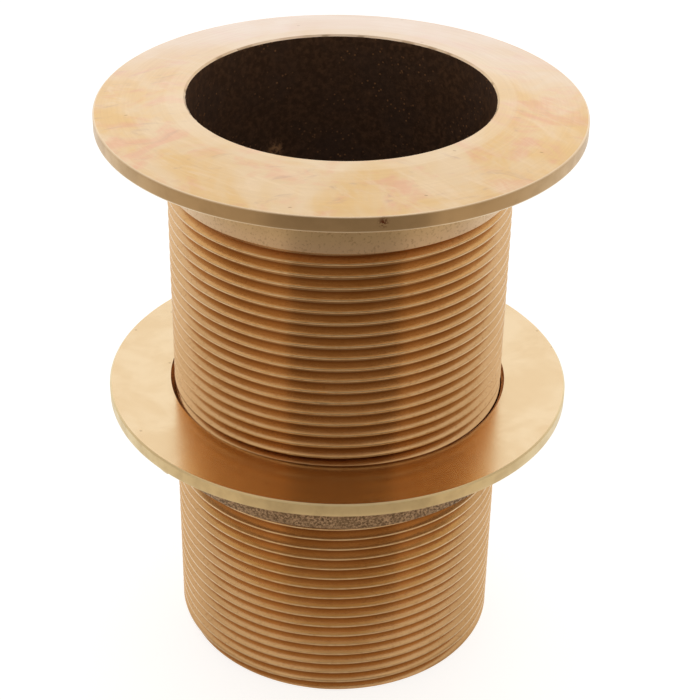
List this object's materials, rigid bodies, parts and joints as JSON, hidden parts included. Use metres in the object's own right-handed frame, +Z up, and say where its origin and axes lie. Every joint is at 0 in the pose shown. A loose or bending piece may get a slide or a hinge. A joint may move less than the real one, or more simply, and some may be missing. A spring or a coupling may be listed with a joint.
{
  "type": "thru hull fitting",
  "caption": "Flanged bronze through-hull tube with a straight pipe thread and a flanged backing nut that screws along it to clamp the hull.",
  "frame": {"origin": "centre of the tube's lower end, on the bore's axis", "axes": "+Z up along the bore's axis from the tube's threaded end to the mounting flange"},
  "size_m": [0.084, 0.084, 0.107],
  "materials": {
    "fitting_bronze": "machined satin bronze outside, rough dark as-cast skin in the bore",
    "nut_bronze": "machined satin bronze flange, rough sand-cast collar"
  },
  "bodies": {
    "hull_fitting": {"hull_fitting": "fitting_bronze"},
    "nut_lead": {"nut_thread": "nut_bronze"},
    "nut": {"backing_nut": "nut_bronze"}
  },
  "joints": [
    {"name": "nut_travel", "type": "slide", "parent": "hull_fitting", "child": "nut_lead", "axis": [0, 0, 1], "range_m": [-0.0378, 0.04]},
    {"name": "nut_turn", "type": "hinge", "parent": "nut_lead", "child": "nut", "pos_m": [0, 0, 0.0456], "axis": [0, 0, 1], "range_deg": [-6120, 6480]}
  ],
  "couplings": [
    {"joint": "nut_travel", "follows": "nut_turn", "m_per_rad": 0.00035152}
  ]
}
